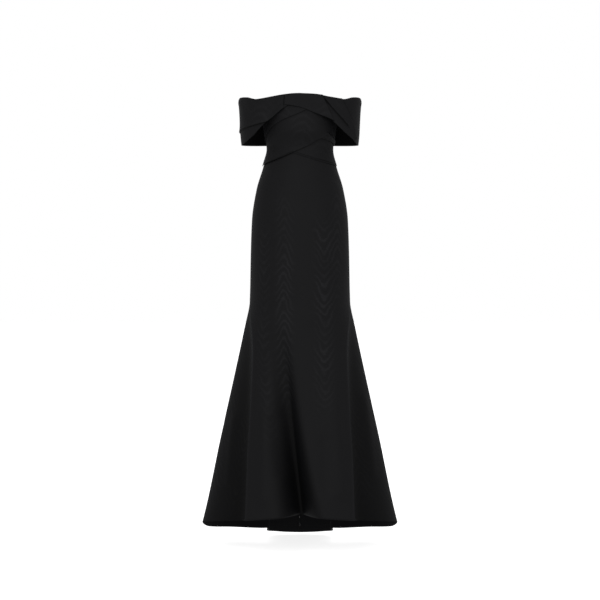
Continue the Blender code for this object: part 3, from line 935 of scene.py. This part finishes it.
def skirt_grid(left, right, net):
    """Angles and heights of a skirt panel whose side edges swing with the height."""
    angles = []
    heights = []
    start = 1.0 / net.lower_rows if net.rows else GODET_START
    shares = [(True, t) for t in np.linspace(0.0, 1.0, net.rows + 1)] if net.rows else []
    shares += [(False, t) for t in np.linspace(start, 1.0, net.lower_rows)]
    for above_knee, share in shares:
        def row_height(angle):
            if above_knee:
                top = waist_height(angle) - SEAM_GAP / 2
                return top + (KNEE - top) * share
            return KNEE + (hem_height(angle) - KNEE) * share
        ends = [left(KNEE), right(KNEE)]
        for _ in range(SEAM_ROUNDS):
            ends = [left(row_height(ends[0])), right(row_height(ends[1]))]
        angle = between(ends[0], ends[1], net.columns)
        angles.append(angle)
        heights.append(row_height(angle))
    return Grid(np.array(angles), np.array(heights))


def mirrored(grid, sign):
    """The same piece on the left, for a sign of -1, or on the right."""
    return Grid(sign * grid.angle[:, ::sign], grid.height[:, ::sign])


def seam_shift(height, angle):
    """Half of a seam's gap as an angle."""
    return np.degrees(SEAM_GAP / 2 / BODICE.radius(angle, height))


def upright_grid(left, right, top_of, bottom_of, net):
    """Angles and heights of a piece between two upright seams and two edges."""
    angle = between(left, right, net.columns)
    t = np.linspace(0.0, 1.0, net.rows + 1)[:, None]
    top = top_of(angle)
    height = top + (bottom_of(angle) - top) * t
    return Grid(np.tile(angle, (net.rows + 1, 1)), height)


class GownSettings(bpy.types.PropertyGroup):
    """Colours and finish of the gown's cloth."""

    ground_colour: bpy.props.FloatVectorProperty(
        name="Ground", description="Colour of the cloth between the watermark's waves",
        subtype="COLOR", size=3, min=0.0, max=1.0, default=(0.0072, 0.0072, 0.0078))
    watermark_colour: bpy.props.FloatVectorProperty(
        name="Watermark", description="Colour of the watermark's waves",
        subtype="COLOR", size=3, min=0.0, max=1.0, default=(0.0150, 0.0150, 0.0164))
    rib_depth: bpy.props.FloatProperty(
        name="Rib depth", description="Height of the cloth's cross ribs",
        subtype="DISTANCE", unit="LENGTH", min=0.0, max=0.001, default=0.00006)
    fineness: bpy.props.FloatProperty(
        name="Fineness", description="How many rows and columns the cloth's meshes have, as a factor",
        min=0.2, max=1.5, default=1.0)


class StageSettings(bpy.types.PropertyGroup):
    """Light and floor."""

    floor_colour: bpy.props.FloatVectorProperty(
        name="Floor", description="Colour of the floor", subtype="COLOR", size=3,
        min=0.0, max=1.0, default=(0.9, 0.9, 0.9))
    light_power: bpy.props.FloatProperty(
        name="Light power", description="Power of the main soft light",
        subtype="POWER", unit="POWER", min=0.0, default=46.0)
    fill_light: bpy.props.FloatProperty(
        name="Fill light", description="Strength of the even light from all round",
        subtype="FACTOR", min=0.0, max=1.0, default=0.50)


def scaled_net(settings, name):
    """The columns and rows of a piece's mesh at the chosen fineness."""
    return Net(*(max(LEAST_ROWS, round(n * settings.fineness)) if n else 0 for n in NETS[name]))


class GOWN_OT_skirt(bpy.types.Operator):
    """Make the skirt's front, godets and backs"""

    bl_idname = "gown.skirt"
    bl_label = "Skirt"

    def execute(self, context):
        settings = context.scene.gown
        finishes = cloth_finishes(settings, "skirt")
        front = skirt_grid(
            lambda z: -front_seam(z) + seam_shift(z, SIDE_SEAM),
            lambda z: front_seam(z) - seam_shift(z, SIDE_SEAM),
            scaled_net(settings, "skirt_front"))
        dress_piece("skirt_front", SKIRT, front, 0.0, CLOTH, FRONT_WATERMARK, finishes)
        godet = skirt_grid(
            lambda z: front_seam(z) + seam_shift(z, SIDE_SEAM),
            lambda z: back_seam(z) - seam_shift(z, SIDE_SEAM),
            scaled_net(settings, "skirt_godet"))
        back = skirt_grid(
            lambda z: back_seam(z) + seam_shift(z, SIDE_SEAM),
            lambda z: BACK - seam_shift(z, BACK + 0 * z),
            scaled_net(settings, "skirt_back"))
        for side, sign in SIDES:
            dress_piece(f"skirt_godet_{side}", SKIRT, mirrored(godet, sign), 0.0, CLOTH, SIDE_WATERMARK,
                        finishes)
            dress_piece(f"skirt_back_{side}", SKIRT, mirrored(back, sign), 0.0, CLOTH, SIDE_WATERMARK,
                        finishes)
        return {"FINISHED"}


class GOWN_OT_bodice(bpy.types.Operator):
    """Make the fitted bodice under the wraps"""

    bl_idname = "gown.bodice"
    bl_label = "Bodice"

    def execute(self, context):
        settings = context.scene.gown
        finishes = cloth_finishes(settings, "bodice")

        def top(angle):
            return BODICE_TOP + 0 * angle

        def bottom(angle):
            return waist_height(angle) + SEAM_GAP / 2

        shift = seam_shift(WAIST_SIDE, SIDE_SEAM)
        front = upright_grid(-SIDE_SEAM + shift, SIDE_SEAM - shift, top, bottom,
                             scaled_net(settings, "bodice_front"))
        dress_piece("bodice_front", BODICE, front, 0.0, CLOTH, UPPER_WATERMARK, finishes)
        back = upright_grid(SIDE_SEAM + shift, BACK - shift, top, bottom,
                            scaled_net(settings, "bodice_back"))
        for side, sign in SIDES:
            dress_piece(f"bodice_back_{side}", BODICE, mirrored(back, sign), 0.0, CLOTH, UPPER_WATERMARK,
                        finishes)
        return {"FINISHED"}


class GOWN_OT_wraps(bpy.types.Operator):
    """Make the three wrap panels over the bodice"""

    bl_idname = "gown.wraps"
    bl_label = "Wrap panels"

    def execute(self, context):
        settings = context.scene.gown
        finishes = cloth_finishes(settings, "bodice")
        upper = edge_curve(WRAP_UPPER_EDGE)
        lower = edge_curve(WRAP_LOWER_EDGE)
        first_lift = LAYER_GAP + WRAP_CLOTH
        pieces = [
            ("wrap_upper", -SIDE_SEAM, WRAP_UPPER_END, lambda a: WRAP_TOP + 0 * a, upper),
            ("wrap_lower", WAIST_APEX_ANGLE, SIDE_SEAM, lambda a: lower(a) + WRAP_TUCK,
             lambda a: waist_height(a) - WAIST_OVERLAP),
            ("wrap_main", -SIDE_SEAM, SIDE_SEAM, lambda a: np.minimum(upper(a) + WRAP_TUCK, WRAP_TOP),
             lower),
        ]
        for name, left, right, top, bottom in pieces:
            grid = upright_grid(left, right, top, bottom, scaled_net(settings, name))
            share = (grid.height - lower(grid.angle)) / (upper(grid.angle) - lower(grid.angle))
            sunk = ease((share - WRAP_SINK_START) / (WRAP_SINK_END - WRAP_SINK_START))
            lift = {
                "wrap_upper": 2 * first_lift,
                "wrap_lower": first_lift,
                "wrap_main": first_lift * (2 - sunk),
            }[name]
            shell = BODICE if name == "wrap_lower" else WRAP
            dress_piece(name, shell, grid, lift, WRAP_CLOTH, UPPER_WATERMARK, finishes)
        return {"FINISHED"}


class GOWN_OT_band(bpy.types.Operator):
    """Make the off-the-shoulder band with its pleats"""

    bl_idname = "gown.band"
    bl_label = "Band"

    def execute(self, context):
        settings = context.scene.gown
        finishes = cloth_finishes(settings, "band")
        top_curve = edge_curve(BAND_TOP_EDGE)

        def top(angle):
            return top_curve(np.abs(angle))

        def back_low(angle):
            return BAND_SIDE_LOW - (BAND_BACK_LOW - BAND_SIDE_LOW) * np.cos(np.radians(angle))

        shift = np.degrees(SEAM_GAP / 2 / BAND_SEAM_RADIUS)
        left = upright_grid(-BAND_SEAM + shift, BAND_LEFT_END, top, edge_curve(BAND_LEFT_EDGE),
                            scaled_net(settings, "band_front_left"))
        swell = ease((left.angle - BAND_SWELL_START) / (BAND_SWELL_PEAK - BAND_SWELL_START))
        swell = swell * (1 - ease((left.angle - BAND_SWELL_PEAK) / (BAND_SWELL_END - BAND_SWELL_PEAK)))
        dress_piece("band_front_left", BAND, left, BAND_SWELL * swell, BAND_CLOTH, UPPER_WATERMARK,
                    finishes)
        right = upright_grid(BAND_RIGHT_START, BAND_SEAM - shift, top, edge_curve(BAND_RIGHT_EDGE),
                             scaled_net(settings, "band_front_right"))
        ramp = 1 - ease((right.angle - BAND_RAMP_START) / (BAND_RAMP_END - BAND_RAMP_START))
        dress_piece("band_front_right", BAND, right, (BAND_CLOTH + LAYER_GAP) * ramp, BAND_CLOTH,
                    UPPER_WATERMARK, finishes)
        back = upright_grid(BAND_SEAM + shift, BACK - 2 * shift, top, back_low,
                            scaled_net(settings, "band_back"))
        for side, sign in SIDES:
            dress_piece(f"band_back_{side}", BAND, mirrored(back, sign), 0.0, BAND_CLOTH, UPPER_WATERMARK,
                        finishes)
        return {"FINISHED"}


def parts_along_path_tree():
    """Geometry Nodes: small rounded parts set along a path at an even spacing."""
    name = "Small parts along a path"
    if name in bpy.data.node_groups:
        return bpy.data.node_groups[name]
    taken = [
        ("Path", "Geometry", None),
        ("Spacing", "Float", TOOTH_SPACING),
        ("Half Size", "Vector", None),
        ("Finish", "Material", None),
    ]
    tree, given, wanted = new_group(name, "GeometryNodeTree", taken, [("Parts", "Geometry", None)])
    places = node(tree, "GeometryNodeCurveToPoints", "Even places", mode="LENGTH")
    bead = node(tree, "GeometryNodeMeshUVSphere", "One rounded part",
                {"Segments": 8, "Rings": 5, "Radius": 1.0})
    copies = node(tree, "GeometryNodeInstanceOnPoints", "One at each place")
    realized = node(tree, "GeometryNodeRealizeInstances", "Real mesh")
    finished = node(tree, "GeometryNodeSetMaterial", "Finish")
    link(tree,
         (given["Path"], places.inputs["Curve"]),
         (given["Spacing"], places.inputs["Length"]),
         (places.outputs["Points"], copies.inputs["Points"]),
         (bead.outputs["Mesh"], copies.inputs["Instance"]),
         (places.outputs["Rotation"], copies.inputs["Rotation"]),
         (given["Half Size"], copies.inputs["Scale"]),
         (copies.outputs["Instances"], realized.inputs["Geometry"]),
         (realized.outputs["Geometry"], finished.inputs["Geometry"]),
         (given["Finish"], finished.inputs["Material"]),
         (finished.outputs["Geometry"], wanted["Parts"]))
    return tree


def parts_along(name, paths, spacing, half_size, finish):
    """One piece made of small parts along one or more paths."""
    line = bpy.data.curves.new(name + "_path", "CURVE")
    line.dimensions = "3D"
    for path in paths:
        spline = line.splines.new("POLY")
        spline.points.add(len(path) - 1)
        spline.points.foreach_set("co", np.column_stack([path, np.ones(len(path))]).reshape(-1))
    guide = add_object(name + "_path", line)
    maker = guide.modifiers.new("Parts", "NODES")
    maker.node_group = parts_along_path_tree()
    sockets = maker.node_group.interface.items_tree
    named = {socket.name: socket.identifier for socket in sockets if socket.in_out == "INPUT"}
    maker[named["Spacing"]] = spacing
    maker[named["Half Size"]] = half_size
    maker[named["Finish"]] = finish
    made = guide.evaluated_get(bpy.context.evaluated_depsgraph_get())
    mesh = bpy.data.meshes.new_from_object(made)
    bpy.data.objects.remove(guide, do_unlink=True)
    if len(mesh.polygons) == 0:
        raise RuntimeError("No parts were made along the path of " + name)
    mesh.name = name
    mesh.shade_smooth()
    piece = add_object(name, mesh)
    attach(piece, "root")


class GOWN_OT_zip(bpy.types.Operator):
    """Make the zip's tape, its teeth and the hand stitches inside the hem"""

    bl_idname = "gown.zip"
    bl_label = "Zip and hem stitches"

    def execute(self, context):
        settings = context.scene.gown
        tape = plain_cloth("zip_tape_cloth", INSIDE_COLOUR, 0.75, 0.10)
        net = scaled_net(settings, "zip_tape")
        heights = np.linspace(ZIP_TOP, ZIP_LOW, net.rows + 1)[:, None]
        half = np.degrees(ZIP_HALF_WIDTH / BODICE.plain_radius(BACK, heights))
        angles = BACK + half * np.linspace(-1.0, 1.0, net.columns + 1)
        tape_lift = -CLOTH - LAYER_GAP
        dress_piece("zip_tape", BODICE, Grid(angles, heights + 0 * angles), tape_lift, ZIP_CLOTH, [],
                    [tape, tape])
        teeth = plain_cloth("zip_teeth_finish", TOOTH_COLOUR, 0.42, 0.40)
        along = np.linspace(ZIP_TOP - TOOTH_SPACING, ZIP_LOW + TOOTH_SPACING, TOOTH_PATH_POINTS)
        teeth_lift = tape_lift - ZIP_CLOTH - TOOTH_HALF_SIZE[1] + 0 * along
        paths = []
        for _, sign in SIDES:
            turn = np.degrees(sign * TOOTH_ASIDE / BODICE.plain_radius(BACK, along))
            paths.append(BODICE.points(BACK + turn, along, teeth_lift))
        parts_along("zip_teeth", paths, TOOTH_SPACING, TOOTH_HALF_SIZE, teeth)
        thread = plain_cloth("hem_thread", THREAD_COLOUR, 0.55, 0.20)
        round_hem = np.linspace(-BACK, BACK, HEM_PATH_POINTS)
        hem_line = SKIRT.points(round_hem, hem_height(round_hem) + HEM_DEPTH, -CLOTH + 0 * round_hem)
        parts_along("hem_stitches", [hem_line], STITCH_SPACING, STITCH_HALF_SIZE, thread)
        return {"FINISHED"}


class GOWN_OT_stage(bpy.types.Operator):
    """Make the camera, the floor and the soft studio light"""

    bl_idname = "gown.stage"
    bl_label = "Stage"

    def execute(self, context):
        settings = context.scene.gown_stage
        low = CAD_BOX[0][2] - FLOOR_BELOW_HEM
        mesh = bpy.data.meshes.new("floor")
        corners = [(-FLOOR_HALF, -FLOOR_HALF, low), (FLOOR_HALF, -FLOOR_HALF, low),
                   (FLOOR_HALF, FLOOR_HALF, low), (-FLOOR_HALF, FLOOR_HALF, low)]
        mesh.from_pydata(corners, [], [(0, 1, 2, 3)])
        floor = add_object("floor", mesh)
        paint, _, shader = new_material("floor_paint")
        set_inputs(shader, {
            "Base Color": (*settings.floor_colour, 1.0),
            "Roughness": 0.9,
            "Specular IOR Level": 0.0,
            "Emission Color": WHITE,
            "Emission Strength": FLOOR_GLOW,
        })
        mesh.materials.append(paint)
        floor.visible_diffuse = False
        floor.visible_glossy = False
        context.scene.world = studio_world(settings.fill_light)
        context.scene.view_settings.view_transform = "Standard"
        for lamp in LAMPS:
            light = bpy.data.lights.new(lamp.name, "AREA")
            light.shape = "SQUARE"
            light.size = lamp.size
            light.energy = settings.light_power * lamp.share
            made = add_object(lamp.name, light)
            made.location = lamp.place
            made.rotation_euler = aim_at(lamp.place, lamp.aim)
        view = bpy.data.cameras.new("camera")
        view.lens = CAMERA_AWAY / PIXEL_AT_GOWN / IMAGE_WIDTH * SENSOR_WIDTH
        view.sensor_width = SENSOR_WIDTH
        view.clip_end = CAMERA_REACH
        camera = add_object("camera", view)
        camera.location = (CAMERA_ASIDE, -CAMERA_AWAY, CAMERA_HEIGHT)
        camera.rotation_euler = (math.radians(90.0), 0.0, 0.0)
        context.scene.camera = camera
        return {"FINISHED"}


def studio_world(fill):
    """An even weak light from all round, with a plain white background."""
    world = bpy.data.worlds.new("studio")
    world.use_nodes = True
    tree = world.node_tree
    even = tree.nodes["Background"]
    set_inputs(even, {"Color": WHITE, "Strength": fill})
    white = node(tree, "ShaderNodeBackground", "White background", {"Color": WHITE})
    path = node(tree, "ShaderNodeLightPath", "Seen directly")
    mix = node(tree, "ShaderNodeMixShader", "Background or light")
    link(tree,
         (path.outputs["Is Camera Ray"], mix.inputs[0]),
         (even.outputs[0], mix.inputs[1]),
         (white.outputs[0], mix.inputs[2]),
         (mix.outputs[0], tree.nodes["World Output"].inputs["Surface"]))
    return world


def aim_at(place, aim):
    """Turns that point a lamp from its place at a target."""
    return (Vector(aim) - Vector(place)).to_track_quat("-Z", "Y").to_euler()


class GOWN_PT_panel(bpy.types.Panel):
    """Buttons for each group of pieces"""

    bl_idname = "GOWN_PT_panel"
    bl_label = "Gown"
    bl_space_type = "VIEW_3D"
    bl_region_type = "UI"
    bl_category = "Gown"

    def draw(self, context):
        for name in ("ground_colour", "watermark_colour", "rib_depth", "fineness"):
            self.layout.prop(context.scene.gown, name)
        for name in ("floor_colour", "light_power", "fill_light"):
            self.layout.prop(context.scene.gown_stage, name)
        for operator in OPERATORS:
            self.layout.operator(operator.bl_idname)


OPERATORS = (GOWN_OT_skirt, GOWN_OT_bodice, GOWN_OT_wraps, GOWN_OT_band, GOWN_OT_zip, GOWN_OT_stage)
CLASSES = (GownSettings, StageSettings) + OPERATORS + (GOWN_PT_panel,)


def register():
    for made in CLASSES:
        bpy.utils.register_class(made)
    bpy.types.Scene.gown = bpy.props.PointerProperty(type=GownSettings)
    bpy.types.Scene.gown_stage = bpy.props.PointerProperty(type=StageSettings)


def unregister():
    del bpy.types.Scene.gown_stage
    del bpy.types.Scene.gown
    for made in reversed(CLASSES):
        bpy.utils.unregister_class(made)


def main():
    register()
    bpy.ops.gown.skirt()
    bpy.ops.gown.bodice()
    bpy.ops.gown.wraps()
    bpy.ops.gown.band()
    bpy.ops.gown.zip()
    bpy.ops.gown.stage()


if __name__ == "__main__":
    main()
